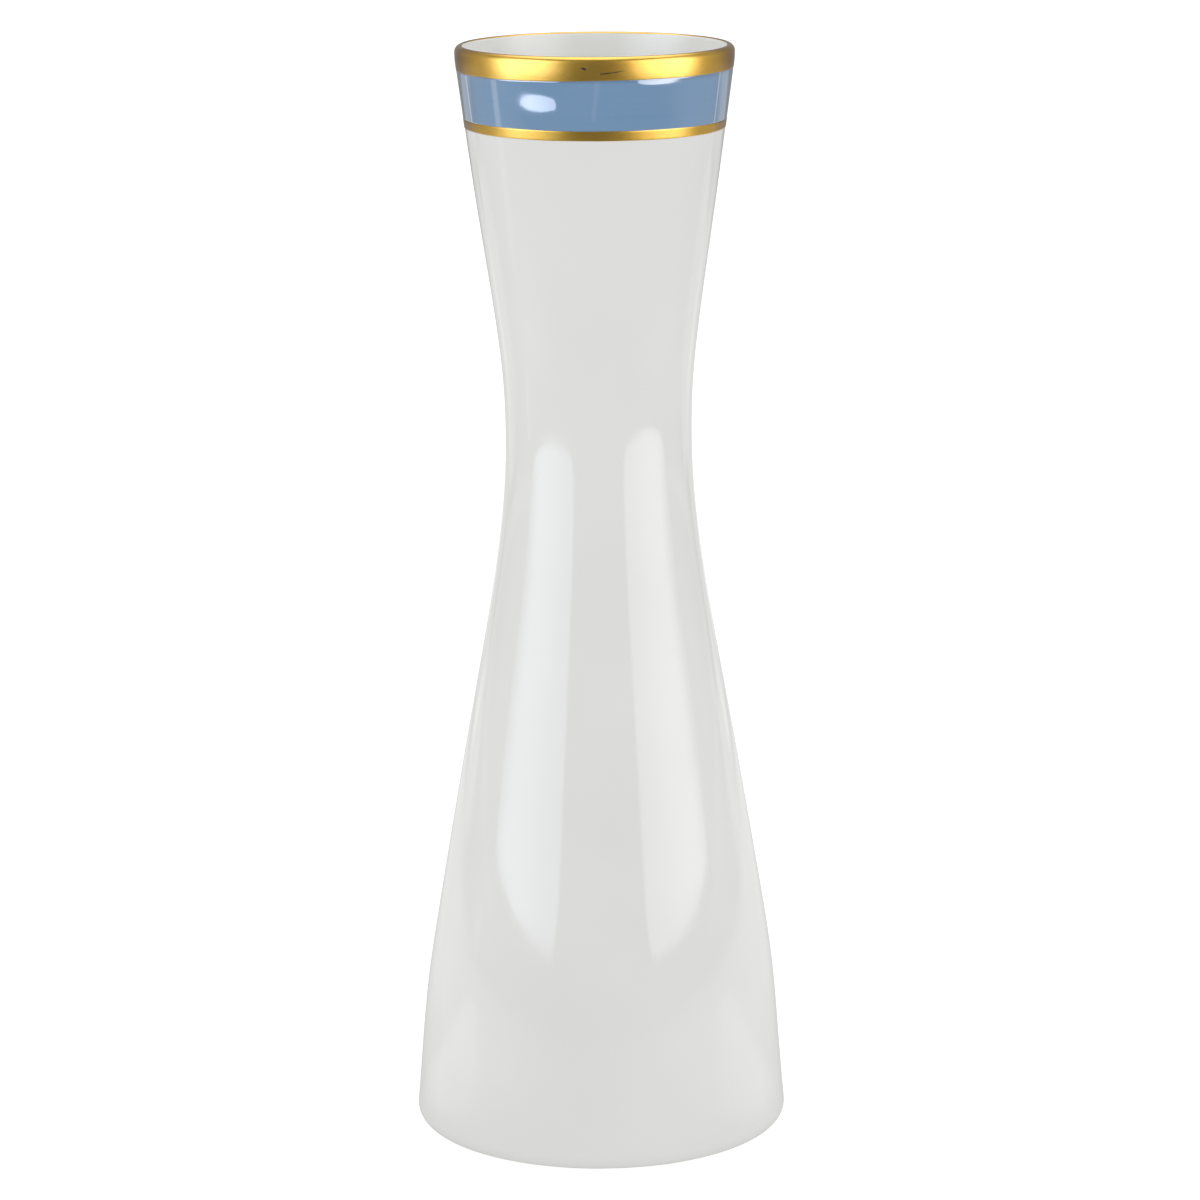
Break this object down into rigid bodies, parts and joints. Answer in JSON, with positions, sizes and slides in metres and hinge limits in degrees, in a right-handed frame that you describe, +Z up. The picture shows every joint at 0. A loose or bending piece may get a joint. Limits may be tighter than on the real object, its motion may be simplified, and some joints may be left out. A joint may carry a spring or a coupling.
{
  "type": "vase",
  "caption": "Tall waisted porcelain flower vase with a flared mouth, a blue painted band and gilded edges, which stands on its own foot ring.",
  "frame": {"origin": "centre of the flat foot ring, on the plane the vase stands on", "axes": "+Z up along the vase's axis of revolution, from the foot to the lip; +X and +Y are any two directions across it"},
  "size_m": [0.0824, 0.0824, 0.24],
  "materials": {
    "biscuit_porcelain": "bare fired porcelain, matt, on the foot ring",
    "outer_white_glaze": "glossy clear glaze over white porcelain",
    "inner_white_glaze": "glossy poured glaze",
    "base_white_glaze": "glossy glaze in the foot recess",
    "blue_enamel": "glossy grey-blue enamel, hand banded",
    "rim_gold": "burnished fired gold, satin",
    "line_gold": "burnished fired gold, satin"
  },
  "bodies": {
    "root": {"porcelain_body": "biscuit_porcelain", "outer_glaze": "outer_white_glaze", "inner_glaze": "inner_white_glaze", "base_glaze": "base_white_glaze", "blue_band": "blue_enamel", "rim_gilding": "rim_gold", "gilt_line": "line_gold"}
  },
  "joints": []
}
